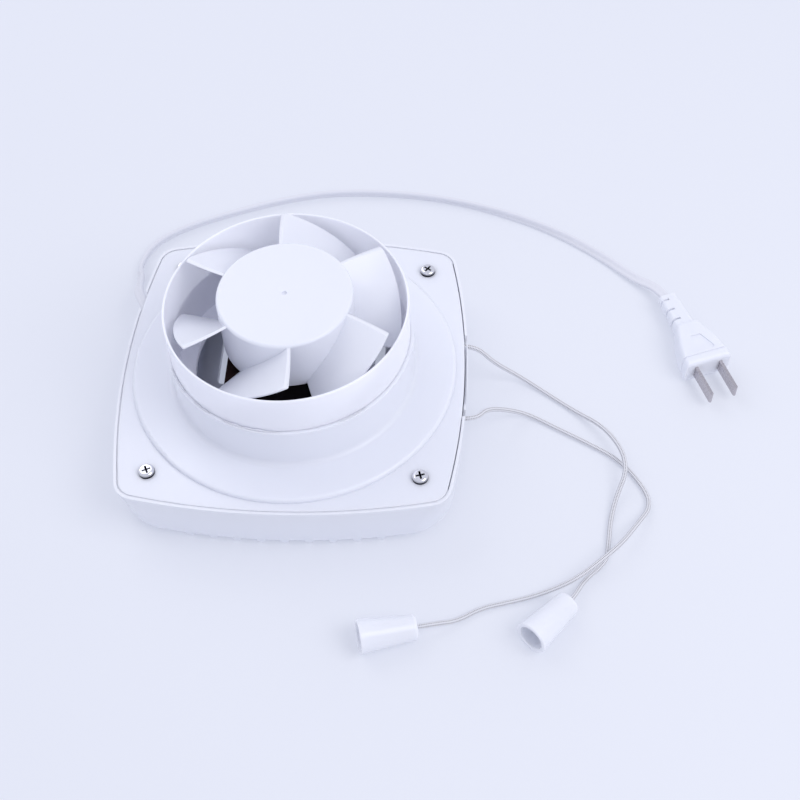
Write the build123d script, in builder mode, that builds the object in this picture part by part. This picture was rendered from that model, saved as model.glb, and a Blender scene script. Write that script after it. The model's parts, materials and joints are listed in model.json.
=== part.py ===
"""Bathroom extractor fan with two pull cords, lying face down on the bars of its grille.

Millimetres.  The origin is the centre of the fan on the surface that it lies on.  +Z runs along the
duct, away from the grille.  The pull cords leave the +X side, the mains cord leaves the -X side.
"""

import math
import os

from build123d import *

os.makedirs("parts", exist_ok=True)

# ---------------------------------------------------------------- driving dimensions
# Body outline: a square with bowed sides and rounded corners
PLATE_HALF = 80.0
SIDE_BOW = 7.9
PLATE_CORNER_R = 8.5
RIM_HALF = 81.6
RIM_CORNER_R = 10.1
PLATE_GAP = 0.4
FACE_HALF = 80.2
FACE_CORNER_R = 24.0
WALL = 2.2

# Heights of the flat pieces, from the surface that the fan lies on
BAR_HEIGHT = 3.6
FACE_TOP = 5.6
SHUTTER_BOTTOM = 6.0
SHUTTER_THICKNESS = 1.6
PLATE_UNDER = 26.5
PLATE_TOP = 29.0
STEP_HEIGHT = 2.4
STEP_TOP = PLATE_TOP + STEP_HEIGHT
RECESS_TOP = PLATE_TOP - 0.1

# Grille: bars run along Y, with a slot between each two
BAR_COUNT = 9
BAR_PITCH = 10.93
BAR_WIDTH = 4.0
SLOT_WIDTH = 5.0
SLOT_LENGTH = 54.0
SLOT_CENTRE_Y = 32.0

# Duct
STEP_R = 76.0
STEP_RECESS_R = 73.5
COLLAR_R = 56.6
COLLAR_TOP = 54.2
COLLAR_BORE_R = 55.05
LEDGE_R = 52.0
SLEEVE_R = 55.0
SLEEVE_SPIGOT_R = 54.9
SLEEVE_SPIGOT_END_R = 54.5
SLEEVE_BORE_R = 53.9
SLEEVE_BOTTOM = STEP_TOP - 1.0
SLEEVE_SHOULDER = COLLAR_TOP + 0.15
SLEEVE_TOP = 75.4
INLET_R = 46.0
SPIDER_TOP = SLEEVE_BOTTOM + 3.0
SEAT_RING_R = 27.0
SEAT_BORE_R = 10.0

# Impeller
HUB_R = 30.4
HUB_INNER_R = 28.6
HUB_BOTTOM = 54.0
HUB_TOP = 81.7
BLADE_COUNT = 6
BLADE_TOP_ANGLE = 36.4
BLADE_SPAN_ANGLE = 46.0
BLADE_TIP_R = 51.0
BLADE_TOP = 80.0
BLADE_BOTTOM = 55.2
BLADE_ROOT_THICKNESS = 1.4
BLADE_TIP_THICKNESS = 1.0
BLADE_CORNER_R = 0.5

# Motor: a shaded-pole motor with one coil on the leg of its core
SHAFT_R = 2.0
STACK_BOTTOM = 38.5
STACK_TOP = 48.5
ROTOR_R = 12.3
STATOR_BORE_R = 12.7
CORE_HALF_WIDTH = 28.0
CORE_FRONT = -34.0
CORE_BACK = 18.0
LEG_BACK = -23.5
WINDOW_BACK = -17.0
WINDOW_HALF = 17.5
MOTOR_SCREW_X = 21.0
BRACKET_THICKNESS = 2.0
BRACKET_HALF_WIDTH = 6.0
BEARING_R = 5.0
BEARING_HEIGHT = 6.0

# Pull-cord mechanism
PIVOT = (66.0, -3.25)
PULL_ARM = 21.25
SHUTTER_ARM = 31.0
PULL_Z = 23.8
PULL_NOTCH_WIDTH = 5.0
ROCKER_BOTTOM = 21.2
ROCKER_TOP = 26.2
RUNNING_GAP = 0.06

# Screws and cords
SCREW_SPACING = 122.0
CORNER_SCREW_R = 1.9
POWER_CORD_WIDTH = 4.8
POWER_CORD_THICKNESS = 2.4
POWER_CORD_ROLL = 12.6
PULL_CORD_R = 1.1
WIRE_R = 0.8
BELL_LENGTH = 25.5
BELL_SMALL_R = 5.6
BELL_MOUTH_R = 7.6
BELL_WALL = 1.8
CORD_IN_BELL = 3.0
KNOT_R = 2.4
KNOT_LENGTH = 4.2

# Plug: its pins leave the middle of its face
PLUG_FACE = (198.7, 20.6, 6.75)
PLUG_HEADING = -70.0
PLUG_THICKNESS = 13.5
PIN_SPACING = 12.7
PIN_LENGTH = 17.5
RELIEF_LENGTH = 22.5
FLANGE_DEPTH = 4.6

# Routes of the cords, each from its inner end to its outer end
POWER_ROUTE = [
    (-64.0, 13.0, 21.0), (-71.5, 27.0, 24.0), (-79.2, 41.0, 25.2), (-85.2, 53.5, 20.5),
    (-88.0, 71.0, 9.0), (-92.8, 85.0, 2.4), (-87.8, 102.0, 2.4), (-72.3, 114.6, 2.4),
    (-48.0, 126.0, 2.4), (-19.0, 137.0, 2.4), (9.0, 143.0, 2.4), (44.3, 142.3, 2.4),
    (74.3, 137.4, 2.4), (104.5, 127.0, 2.4), (131.0, 113.5, 2.2), (153.0, 97.0, 1.9),
    (167.5, 82.0, 2.6), (180.4, 70.87, 6.75), (184.51, 59.6, 6.75),
]
PULL_ROUTE_A = [
    (61.5, 18.0, 23.8), (73.5, 18.0, 23.4), (85.5, 18.0, 23.8), (94.5, 16.2, 13.5),
    (107.3, 16.3, 3.0), (118.8, 8.7, 1.1), (134.2, -3.4, 1.1), (145.7, -14.3, 5.8),
    (154.0, -27.3, 6.3), (155.8, -40.0, 6.3), (150.8, -51.5, 2.5), (147.5, -63.0, 1.1),
    (146.0, -75.0, 1.1), (144.5, -85.7, 1.1), (134.0, -95.2, 1.4), (129.0, -105.7, 5.32),
    (124.7, -110.4, 5.84),
]
PULL_ROUTE_B = [
    (61.5, -24.5, 23.8), (73.5, -24.5, 23.4), (86.0, -24.5, 23.8), (90.5, -16.0, 19.8),
    (100.6, -8.2, 8.8), (111.2, -5.2, 1.1), (123.7, -12.7, 1.1), (138.2, -21.0, 1.1),
    (153.3, -30.5, 1.1), (164.1, -46.1, 1.1), (166.2, -56.5, 1.1), (158.5, -68.1, 4.5),
    (151.4, -78.4, 6.3), (141.0, -88.2, 6.3), (128.4, -97.9, 4.8), (113.0, -103.2, 1.1),
    (100.6, -106.8, 1.1), (88.5, -110.0, 1.1), (78.5, -116.5, 1.3), (68.9, -119.87, 5.04),
    (58.1, -122.64, 5.9),
]
WIRE_ROUTES = {
    "wire_live_in": [
        (-62.9, 13.3, 20.9), (-60.9, 9.5, 20.0), (-58.5, 6.5, 17.2), (-58.0, 4.5, 13.8), (-58.0, 1.0, 13.0),
    ],
    "wire_neutral_in": [
        (-65.0, 12.1, 20.9), (-64.0, 8.6, 19.8), (-66.0, 6.2, 17.0), (-67.0, 4.3, 13.8), (-67.0, 1.0, 13.0),
    ],
    "wire_live_to_switch": [
        (-58.0, -12.0, 13.0), (-58.0, -30.0, 13.6), (-52.0, -50.0, 15.0), (-28.0, -60.0, 15.6),
        (0.0, -62.0, 15.0), (28.0, -57.0, 16.0), (44.0, -43.0, 17.6), (49.0, -30.0, 18.0),
        (49.0, -20.5, 18.0),
    ],
    "wire_switch_to_coil": [
        (43.6, -15.0, 18.0), (38.0, -15.6, 18.4), (30.0, -23.0, 22.0), (20.0, -33.0, 26.0),
        (12.5, -36.5, 30.0), (12.0, -36.0, 33.9),
    ],
    "wire_neutral_to_coil": [
        (-67.0, -12.0, 13.0), (-67.0, -21.0, 13.4), (-58.0, -31.0, 17.0), (-46.0, -36.0, 21.0),
        (-32.0, -38.0, 24.5), (-18.0, -38.0, 28.0), (-12.0, -36.5, 31.0), (-12.0, -36.0, 34.0),
    ],
}

CORNERS = GridLocations(SCREW_SPACING, SCREW_SPACING, 2, 2).locations
SLOT_COLUMNS = GridLocations(BAR_PITCH, 2 * SLOT_CENTRE_Y, BAR_COUNT - 1, 2).locations


# ---------------------------------------------------------------- helpers
def bowed_square(half, corner_r):
    """Face with four bowed sides and rounded corners; half is from the axis to mid-side."""
    corner = half - SIDE_BOW
    with BuildSketch() as outline:
        with BuildLine():
            ThreePointArc((corner, -corner), (half, 0), (corner, corner))
            ThreePointArc((corner, corner), (0, half), (-corner, corner))
            ThreePointArc((-corner, corner), (-half, 0), (-corner, -corner))
            ThreePointArc((-corner, -corner), (0, -half), (corner, -corner))
        make_face()
        fillet(outline.vertices(), corner_r)
    return outline.sketch


def pan_head_screw(head_r, head_height, shank_r, shank_length):
    """Screw with the underside of its head at the origin and a cross recess in its head."""
    with BuildPart() as screw:
        with BuildSketch():
            Circle(head_r)
        extrude(amount=head_height)
        fillet(screw.faces().sort_by(Axis.Z)[-1].edges(), 0.6 * head_height)
        with BuildSketch():
            Circle(shank_r)
        extrude(amount=-shank_length)
        chamfer(screw.faces().sort_by(Axis.Z)[0].edges(), 0.4 * shank_r)
        with BuildSketch(Plane.XY.offset(head_height)):
            Rectangle(1.1 * head_r, 0.26 * head_r)
            Rectangle(0.26 * head_r, 1.1 * head_r)
        extrude(amount=-0.65 * head_height, taper=12, mode=Mode.SUBTRACT)
    return screw.part


def corner_radii(points):
    """Arc at each inner corner of a route, as large as its two runs allow."""
    radii = []
    for before, corner, after in zip(points, points[1:], points[2:]):
        run_in = Vector(*corner) - Vector(*before)
        run_out = Vector(*after) - Vector(*corner)
        half_turn = math.radians(run_in.get_angle(run_out)) / 2
        radii.append(0.45 * min(run_in.length, run_out.length) / math.tan(half_turn))
    return radii


def cord_tube(name, points, width, thickness, roll=0.0):
    """Solid of a cord along its route; roll turns a flat cord at its start."""
    radii = corner_radii(points)
    start = Vector(*points[0])
    heading = Vector(*points[1]) - start
    across = Vector(0, 0, 1).cross(heading)
    with BuildPart() as tube:
        with BuildLine() as route:
            FilletPolyline(*points, radius=radii)
        with BuildSketch(Plane(origin=start, x_dir=across, z_dir=heading)) as section:
            if width > thickness:
                RectangleRounded(width, thickness, 0.48 * thickness, rotation=roll)
            else:
                Circle(width / 2)
        sweep()
    length = sum(edge.length for edge in route.edges())
    ratio = tube.part.volume / (section.sketch.area * length)
    print(f"{name}: length {length:.1f}, volume ratio {ratio:.3f},", "radii", [round(r, 1) for r in radii])
    return tube.part


def bearing_bracket(foot_z, direction):
    """Strap over the rotor with a cup for a bearing; direction is +1 above the core, -1 below."""
    strap_z = foot_z + direction * 3.0
    cup_end = foot_z + direction * 9.7
    with BuildPart() as bracket:
        with BuildSketch(Plane.XZ.offset(-BRACKET_HALF_WIDTH)):
            with BuildLine():
                Polyline(
                    (-26, foot_z), (-15.5, foot_z), (-12.8, strap_z), (12.8, strap_z), (15.5, foot_z),
                    (26, foot_z), (26, foot_z + direction * BRACKET_THICKNESS),
                    (16.5, foot_z + direction * BRACKET_THICKNESS),
                    (13.8, strap_z + direction * BRACKET_THICKNESS),
                    (-13.8, strap_z + direction * BRACKET_THICKNESS),
                    (-16.5, foot_z + direction * BRACKET_THICKNESS),
                    (-26, foot_z + direction * BRACKET_THICKNESS), close=True,
                )
            make_face()
        extrude(amount=2 * BRACKET_HALF_WIDTH)
        fillet(bracket.edges().filter_by(Axis.Z), 3.0)
        with BuildSketch(Plane.XY.offset(strap_z)):
            Circle(7.5)
        extrude(amount=cup_end - strap_z)
        fillet(bracket.faces().sort_by(Axis.Z)[-1 if direction > 0 else 0].edges(), 1.2)
        with BuildSketch(Plane.XY.offset(strap_z)):
            Circle(BEARING_R)
        extrude(amount=direction * BEARING_HEIGHT, mode=Mode.SUBTRACT)
        with BuildSketch(Plane.XY.offset(strap_z)):
            Circle(SHAFT_R + 0.5)
        extrude(amount=direction * 8.0, mode=Mode.SUBTRACT)
        with BuildSketch(Plane.XY.offset(foot_z)):
            with Locations((MOTOR_SCREW_X, 0), (-MOTOR_SCREW_X, 0)):
                Circle(1.7)
        extrude(amount=direction * BRACKET_THICKNESS, mode=Mode.SUBTRACT)
    return bracket.part


def write(node, name):
    """Label a finished piece and write its STEP file."""
    node.label = name
    export_step(node, f"parts/{name}.step")


# ---------------------------------------------------------------- front cover with its grille
face_outline = bowed_square(FACE_HALF, FACE_CORNER_R)
rim_outline = bowed_square(RIM_HALF, RIM_CORNER_R)
inner_face_outline = bowed_square(FACE_HALF - WALL, FACE_CORNER_R - WALL)
seat_outline = bowed_square(PLATE_HALF + PLATE_GAP, PLATE_CORNER_R + PLATE_GAP)
bar_outline = bowed_square(FACE_HALF - 1.4, FACE_CORNER_R - 1.4)

with BuildPart() as cover_hollow:
    with BuildSketch(Plane.XY.offset(FACE_TOP)):
        add(inner_face_outline)
    with BuildSketch(Plane.XY.offset(PLATE_UNDER - PLATE_GAP)):
        add(seat_outline)
    loft()
    with BuildSketch(Plane.XY.offset(PLATE_UNDER - PLATE_GAP)):
        add(seat_outline)
    extrude(amount=PLATE_TOP - PLATE_UNDER + PLATE_GAP)

with BuildPart() as bars:
    with BuildSketch(Plane.XZ.offset(-RIM_HALF)):
        with GridLocations(BAR_PITCH, 1, BAR_COUNT, 1):
            with Locations((0, BAR_WIDTH / 2)):
                Circle(BAR_WIDTH / 2)
            with Locations((0, BAR_WIDTH / 2 + BAR_HEIGHT / 2)):
                Rectangle(BAR_WIDTH, BAR_HEIGHT)
    extrude(amount=2 * RIM_HALF)
    with BuildSketch():
        add(bar_outline)
    extrude(amount=BAR_HEIGHT + 0.5, mode=Mode.INTERSECT)

with BuildPart() as front_cover:
    with BuildSketch(Plane.XY.offset(BAR_HEIGHT)):
        add(face_outline)
    with BuildSketch(Plane.XY.offset(PLATE_TOP)):
        add(rim_outline)
    loft()
    fillet(front_cover.faces().sort_by(Axis.Z)[0].edges(), 1.8)
    add(cover_hollow.part, mode=Mode.SUBTRACT)
    # Slots of the grille, then the bars that stand in front of them
    with BuildSketch(Plane.XY.offset(BAR_HEIGHT)):
        with Locations(*SLOT_COLUMNS):
            SlotOverall(SLOT_LENGTH, SLOT_WIDTH, rotation=90)
    extrude(amount=FACE_TOP - BAR_HEIGHT, mode=Mode.SUBTRACT)
    add(bars.part)
    # Pillars for the corner screws and for the pivot pin
    with BuildSketch(Plane.XY.offset(FACE_TOP)):
        with Locations(*CORNERS):
            Circle(5.0)
    extrude(amount=PLATE_UNDER - FACE_TOP)
    with BuildSketch(Plane.XY.offset(PLATE_UNDER)):
        with Locations(*CORNERS):
            Circle(CORNER_SCREW_R)
    extrude(amount=-14.0, mode=Mode.SUBTRACT)
    with BuildSketch(Plane.XY.offset(FACE_TOP)):
        with Locations(PIVOT):
            Circle(4.5)
    extrude(amount=ROCKER_BOTTOM - 0.3 - FACE_TOP)
    with BuildSketch(Plane.XY.offset(ROCKER_BOTTOM)):
        with Locations(PIVOT):
            Circle(SHAFT_R)
    extrude(amount=-12.0, mode=Mode.SUBTRACT)
    # Rails that hold the shutter plate down while it slides
    with Locations((2.0, 65.6, FACE_TOP), (2.0, -65.6, FACE_TOP)):
        Box(104, 2.0, 4.4, align=(Align.CENTER, Align.CENTER, Align.MIN))
    with Locations((2.0, 64.1, FACE_TOP + 2.6), (2.0, -64.1, FACE_TOP + 2.6)):
        Box(104, 2.6, 1.8, align=(Align.CENTER, Align.CENTER, Align.MIN))
    # Notches in the rim: a deep one for each pull cord and a slanted one for the mains cord
    with BuildSketch(Plane.YZ.offset(RIM_HALF - 6.0)):
        with Locations((PIVOT[1] + PULL_ARM, PULL_Z), (PIVOT[1] - PULL_ARM, PULL_Z)):
            Rectangle(PULL_NOTCH_WIDTH, 2 * (PLATE_TOP - PULL_Z))
    extrude(amount=8.0, mode=Mode.SUBTRACT)
    with BuildSketch(Plane.XY.offset(PLATE_TOP)):
        with Locations(Location((-81.0, 44.5), 117.0)):
            Rectangle(22.0, POWER_CORD_WIDTH + 1.4)
    extrude(amount=-7.4, mode=Mode.SUBTRACT)
    # Shallow relief along the inside of the rim between the pull cords
    with BuildSketch(Plane.XY.offset(PLATE_TOP)):
        with Locations((PLATE_HALF + PLATE_GAP, PIVOT[1])):
            Rectangle(1.2, 2 * PULL_ARM - PULL_NOTCH_WIDTH)
    extrude(amount=-2.0, mode=Mode.SUBTRACT)
write(front_cover.part, "front_cover")

# ---------------------------------------------------------------- rear plate with its collar
with BuildPart() as rear_plate:
    with BuildSketch(Plane.XY.offset(PLATE_UNDER)):
        add(bowed_square(PLATE_HALF, PLATE_CORNER_R))
    extrude(amount=PLATE_TOP - PLATE_UNDER)
    fillet(rear_plate.faces().sort_by(Axis.Z)[-1].edges(), 0.5)
    with BuildSketch(Plane.XY.offset(PLATE_TOP)):
        Circle(STEP_R)
    extrude(amount=STEP_HEIGHT)
    fillet(rear_plate.faces().sort_by(Axis.Z)[-1].edges(), 1.5)
    with BuildSketch(Plane.XY.offset(STEP_TOP)):
        Circle(COLLAR_R)
    extrude(amount=COLLAR_TOP - STEP_TOP)
    collar_foot = rear_plate.edges().filter_by(GeomType.CIRCLE).filter_by_position(
        Axis.Z, STEP_TOP - 0.01, STEP_TOP + 0.01
    ).sort_by(SortBy.RADIUS)[0]
    fillet(collar_foot, 2.6)
    with BuildSketch(Plane.XY.offset(SLEEVE_BOTTOM)):
        Circle(COLLAR_BORE_R)
    extrude(amount=COLLAR_TOP - SLEEVE_BOTTOM, mode=Mode.SUBTRACT)
    with BuildSketch(Plane.XY.offset(PLATE_UNDER)):
        Circle(LEDGE_R)
    extrude(amount=SLEEVE_BOTTOM - PLATE_UNDER, mode=Mode.SUBTRACT)
    with BuildSketch(Plane.XY.offset(PLATE_UNDER)):
        Circle(STEP_RECESS_R)
    extrude(amount=RECESS_TOP - PLATE_UNDER, mode=Mode.SUBTRACT)
    with BuildSketch(Plane.XY.offset(PLATE_UNDER)):
        with Locations(*CORNERS):
            Circle(CORNER_SCREW_R + 0.4)
    extrude(amount=PLATE_TOP - PLATE_UNDER, mode=Mode.SUBTRACT)
    with BuildSketch(Plane.XY.offset(RECESS_TOP)):
        with Locations(PIVOT):
            Circle(SHAFT_R)
    extrude(amount=1.0, mode=Mode.SUBTRACT)
write(rear_plate.part, "rear_plate")

# ---------------------------------------------------------------- duct sleeve with the motor spider
with BuildPart() as duct_sleeve:
    with BuildSketch(Plane.XY.offset(SLEEVE_SHOULDER)):
        Circle(SLEEVE_R)
        Circle(SLEEVE_BORE_R, mode=Mode.SUBTRACT)
    extrude(amount=SLEEVE_TOP - SLEEVE_SHOULDER)
    fillet(duct_sleeve.faces().sort_by(Axis.Z)[-1].edges(), 0.45)
    # Thinner spigot that stands in the collar, with the draft of its mould
    with BuildSketch(Plane.XZ):
        with BuildLine():
            Polyline(
                (SLEEVE_BORE_R, SLEEVE_BOTTOM), (SLEEVE_SPIGOT_END_R, SLEEVE_BOTTOM),
                (SLEEVE_SPIGOT_R, SLEEVE_SHOULDER), (SLEEVE_BORE_R, SLEEVE_SHOULDER), close=True,
            )
        make_face()
    revolve(axis=Axis.Z)
    with BuildSketch(Plane.XY.offset(SLEEVE_BOTTOM)):
        Circle(0.5 * (SLEEVE_BORE_R + SLEEVE_SPIGOT_END_R))
        Circle(INLET_R, mode=Mode.SUBTRACT)
        Circle(SEAT_RING_R)
        with PolarLocations(0.5 * (SEAT_RING_R + INLET_R), 4, start_angle=45):
            Rectangle(INLET_R - SEAT_RING_R + 3.0, 6.0)
        Circle(SEAT_BORE_R, mode=Mode.SUBTRACT)
    extrude(amount=SPIDER_TOP - SLEEVE_BOTTOM)
    with BuildSketch(Plane.XY.offset(SPIDER_TOP)):
        with Locations((MOTOR_SCREW_X, 0), (-MOTOR_SCREW_X, 0)):
            Circle(4.5)
    extrude(amount=STACK_BOTTOM - BRACKET_THICKNESS - SPIDER_TOP)
    with BuildSketch(Plane.XY.offset(STACK_BOTTOM - BRACKET_THICKNESS)):
        with Locations((MOTOR_SCREW_X, 0), (-MOTOR_SCREW_X, 0)):
            Circle(1.5)
    extrude(amount=-5.0, mode=Mode.SUBTRACT)
write(duct_sleeve.part, "duct_sleeve")

# ---------------------------------------------------------------- impeller
BLADE_RISE_PER_RADIAN = (BLADE_TOP - BLADE_BOTTOM) / math.radians(BLADE_SPAN_ANGLE)
BLADE_MIDDLE_Z = 0.5 * (BLADE_TOP + BLADE_BOTTOM)


def blade_section(radius, thickness):
    """Slanted strip across the blade, on the plane that faces outwards at this radius."""
    reach = math.radians(BLADE_SPAN_ANGLE / 2 + 4)
    y = radius * math.tan(reach)
    rise = BLADE_RISE_PER_RADIAN * reach
    camber = 0.035 * 2 * y
    with BuildSketch(Plane(origin=(radius, 0, BLADE_MIDDLE_Z), x_dir=(0, 1, 0), z_dir=(1, 0, 0))) as strip:
        with BuildLine():
            ThreePointArc((-y, -rise), (0, camber), (y, rise))
            Line((y, rise), (y, rise - thickness))
            ThreePointArc((y, rise - thickness), (0, camber - thickness), (-y, -rise - thickness))
            Line((-y, -rise - thickness), (-y, -rise))
        make_face()
    return strip.sketch


with BuildPart() as blade:
    add(blade_section(27.0, BLADE_ROOT_THICKNESS))
    add(blade_section(41.0, 0.5 * (BLADE_ROOT_THICKNESS + BLADE_TIP_THICKNESS)))
    add(blade_section(56.0, BLADE_TIP_THICKNESS))
    loft()
    with BuildSketch(Plane.XZ) as envelope:
        with BuildLine():
            Polyline(
                (HUB_R - 0.9, BLADE_BOTTOM), (BLADE_TIP_R, BLADE_BOTTOM),
                (BLADE_TIP_R, BLADE_TOP - 0.6), (HUB_R - 0.9, BLADE_TOP + 0.7), close=True,
            )
        make_face()
        fillet(envelope.vertices().sort_by(Axis.X)[-2:], BLADE_CORNER_R)
    revolve(axis=Axis.Z, mode=Mode.INTERSECT)

with BuildPart() as impeller:
    with BuildSketch(Plane.XY.offset(HUB_BOTTOM)):
        Circle(HUB_R)
    extrude(amount=HUB_TOP - HUB_BOTTOM)
    fillet(impeller.faces().sort_by(Axis.Z)[-1].edges(), 1.4)
    with BuildSketch(Plane.XY.offset(HUB_BOTTOM)):
        Circle(HUB_INNER_R)
    extrude(amount=HUB_TOP - 2.0 - HUB_BOTTOM, mode=Mode.SUBTRACT)
    for number in range(BLADE_COUNT):
        middle = BLADE_TOP_ANGLE - BLADE_SPAN_ANGLE / 2 + number * 360 / BLADE_COUNT
        add(blade.part, rotation=(0, 0, middle))
    # Boss on the shaft with its ribs
    with BuildSketch(Plane.XY.offset(HUB_TOP - 2.0)):
        Circle(5.0)
        with PolarLocations(15.0, 6):
            Rectangle(28.0, 1.4)
    extrude(amount=-5.0)
    with BuildSketch(Plane.XY.offset(HUB_TOP - 2.0)):
        Circle(5.0)
    extrude(amount=-15.0)
    with BuildSketch(Plane.XY.offset(HUB_TOP - 3.0)):
        Circle(SHAFT_R)
    extrude(amount=-16.0, mode=Mode.SUBTRACT)
    with Locations((0, 0, HUB_TOP)):
        Sphere(1.2, mode=Mode.SUBTRACT)
write(impeller.part, "impeller")

# ---------------------------------------------------------------- motor: what turns
with BuildPart() as motor_shaft:
    with BuildSketch(Plane.XY.offset(28.4)):
        Circle(SHAFT_R)
    extrude(amount=HUB_TOP - 3.0 - 28.4)
    chamfer(motor_shaft.faces().sort_by(Axis.Z)[0].edges(), 0.4)
write(motor_shaft.part, "motor_shaft")

with BuildPart() as rotor:
    with BuildSketch(Plane.XY.offset(STACK_BOTTOM)):
        Circle(ROTOR_R)
    extrude(amount=STACK_TOP - STACK_BOTTOM)
    with BuildSketch(Plane.XY.offset(STACK_BOTTOM - 1.5)):
        Circle(ROTOR_R - 1.0)
    extrude(amount=STACK_TOP - STACK_BOTTOM + 3.0)
    with BuildSketch(Plane.XY.offset(STACK_BOTTOM - 1.5)):
        Circle(SHAFT_R)
    extrude(amount=STACK_TOP - STACK_BOTTOM + 3.0, mode=Mode.SUBTRACT)
write(rotor.part, "rotor")

with BuildPart() as thrust_washers:
    for washer_bottom in (STACK_BOTTOM - 2.5, STACK_TOP + 1.7):
        with BuildSketch(Plane.XY.offset(washer_bottom)):
            Circle(4.2)
            Circle(SHAFT_R, mode=Mode.SUBTRACT)
        extrude(amount=0.8)
write(thrust_washers.part, "thrust_washers")

# ---------------------------------------------------------------- motor: what stands still
SHADING_ANGLES = ((150, 115), (330, 295))
SHADING_R = 15.8

with BuildPart() as stator_laminations:
    with BuildSketch(Plane.XY.offset(STACK_BOTTOM)):
        with Locations((0, 0.5 * (CORE_FRONT + CORE_BACK))):
            RectangleRounded(2 * CORE_HALF_WIDTH, CORE_BACK - CORE_FRONT, 2.5)
        with Locations((0, 0.5 * (LEG_BACK + WINDOW_BACK))):
            Rectangle(2 * WINDOW_HALF, WINDOW_BACK - LEG_BACK, mode=Mode.SUBTRACT)
        Circle(STATOR_BORE_R, mode=Mode.SUBTRACT)
        with Locations((MOTOR_SCREW_X, 0), (-MOTOR_SCREW_X, 0)):
            Circle(1.8, mode=Mode.SUBTRACT)
        for pair in SHADING_ANGLES:
            for angle in pair:
                with PolarLocations(SHADING_R, 1, start_angle=angle):
                    Rectangle(2.2, 2.2, mode=Mode.SUBTRACT)
    extrude(amount=STACK_TOP - STACK_BOTTOM)
write(stator_laminations.part, "stator_laminations")

with BuildPart() as shading_rings:
    for pair in SHADING_ANGLES:
        ends = [Vector(SHADING_R, 0).rotate(Axis.Z, angle) for angle in pair]
        for angle in pair:
            with BuildSketch(Plane.XY.offset(STACK_BOTTOM - 1.2)):
                with PolarLocations(SHADING_R, 1, start_angle=angle):
                    Rectangle(2.2, 2.2)
            extrude(amount=STACK_TOP - STACK_BOTTOM + 2.4)
        for bridge_bottom in (STACK_BOTTOM - 1.2, STACK_TOP):
            middle = (ends[0] + ends[1]) / 2
            bridge = ends[1] - ends[0]
            with BuildSketch(Plane.XY.offset(bridge_bottom)):
                with Locations(Location((middle.X, middle.Y), math.degrees(math.atan2(bridge.Y, bridge.X)))):
                    Rectangle(bridge.length, 2.0)
            extrude(amount=1.2)
write(shading_rings.part, "shading_rings")

LEG_MIDDLE = 0.5 * (CORE_FRONT + LEG_BACK)
LEG_DEPTH = LEG_BACK - CORE_FRONT
STACK_MIDDLE = 0.5 * (STACK_BOTTOM + STACK_TOP)
STACK_HEIGHT = STACK_TOP - STACK_BOTTOM
BOBBIN_WALL = 0.8

with BuildPart() as coil_bobbin:
    with Locations((0, LEG_MIDDLE, STACK_MIDDLE)):
        Box(2 * WINDOW_HALF - 0.6, LEG_DEPTH + 2 * BOBBIN_WALL, STACK_HEIGHT + 2 * BOBBIN_WALL)
    with Locations((WINDOW_HALF - 0.9, LEG_MIDDLE, STACK_MIDDLE), (0.9 - WINDOW_HALF, LEG_MIDDLE, STACK_MIDDLE)):
        Box(1.2, LEG_DEPTH + 10.2, STACK_HEIGHT + 9.6)
    fillet(coil_bobbin.edges().filter_by(Axis.X).group_by(SortBy.LENGTH)[0], 0.5)
    with Locations((0, LEG_MIDDLE, STACK_MIDDLE)):
        Box(2 * WINDOW_HALF, LEG_DEPTH, STACK_HEIGHT, mode=Mode.SUBTRACT)
write(coil_bobbin.part, "coil_bobbin")

with BuildPart() as stator_winding:
    with Locations((0, LEG_MIDDLE, STACK_MIDDLE)):
        Box(2 * WINDOW_HALF - 3.0, LEG_DEPTH + 9.4, STACK_HEIGHT + 9.0)
    fillet(stator_winding.edges().filter_by(Axis.X), 3.0)
    with Locations((0, LEG_MIDDLE, STACK_MIDDLE)):
        Box(2 * WINDOW_HALF, LEG_DEPTH + 2 * BOBBIN_WALL, STACK_HEIGHT + 2 * BOBBIN_WALL, mode=Mode.SUBTRACT)
write(stator_winding.part, "stator_winding")

write(bearing_bracket(STACK_TOP, 1), "upper_bearing_bracket")
write(bearing_bracket(STACK_BOTTOM, -1), "lower_bearing_bracket")

with BuildPart() as shaft_bearings:
    for bearing_bottom in (STACK_TOP + 3.0, STACK_BOTTOM - 3.0 - BEARING_HEIGHT):
        with BuildSketch(Plane.XY.offset(bearing_bottom)):
            Circle(BEARING_R)
        extrude(amount=BEARING_HEIGHT)
    fillet(shaft_bearings.edges().filter_by(GeomType.CIRCLE), 1.2)
    with BuildSketch(Plane.XY.offset(STACK_BOTTOM - 3.0 - BEARING_HEIGHT)):
        Circle(SHAFT_R + 0.04)
    extrude(amount=STACK_TOP - STACK_BOTTOM + 2 * BEARING_HEIGHT + 6.0, mode=Mode.SUBTRACT)
write(shaft_bearings.part, "shaft_bearings")

motor_screw = pan_head_screw(2.8, 1.8, 1.5, STACK_TOP - STACK_BOTTOM + 2 * BRACKET_THICKNESS + 4.0)
with BuildPart() as motor_screws:
    with Locations(*[(x, 0, STACK_TOP + BRACKET_THICKNESS) for x in (-MOTOR_SCREW_X, MOTOR_SCREW_X)]):
        add(motor_screw)
write(motor_screws.part, "motor_screws")

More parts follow.
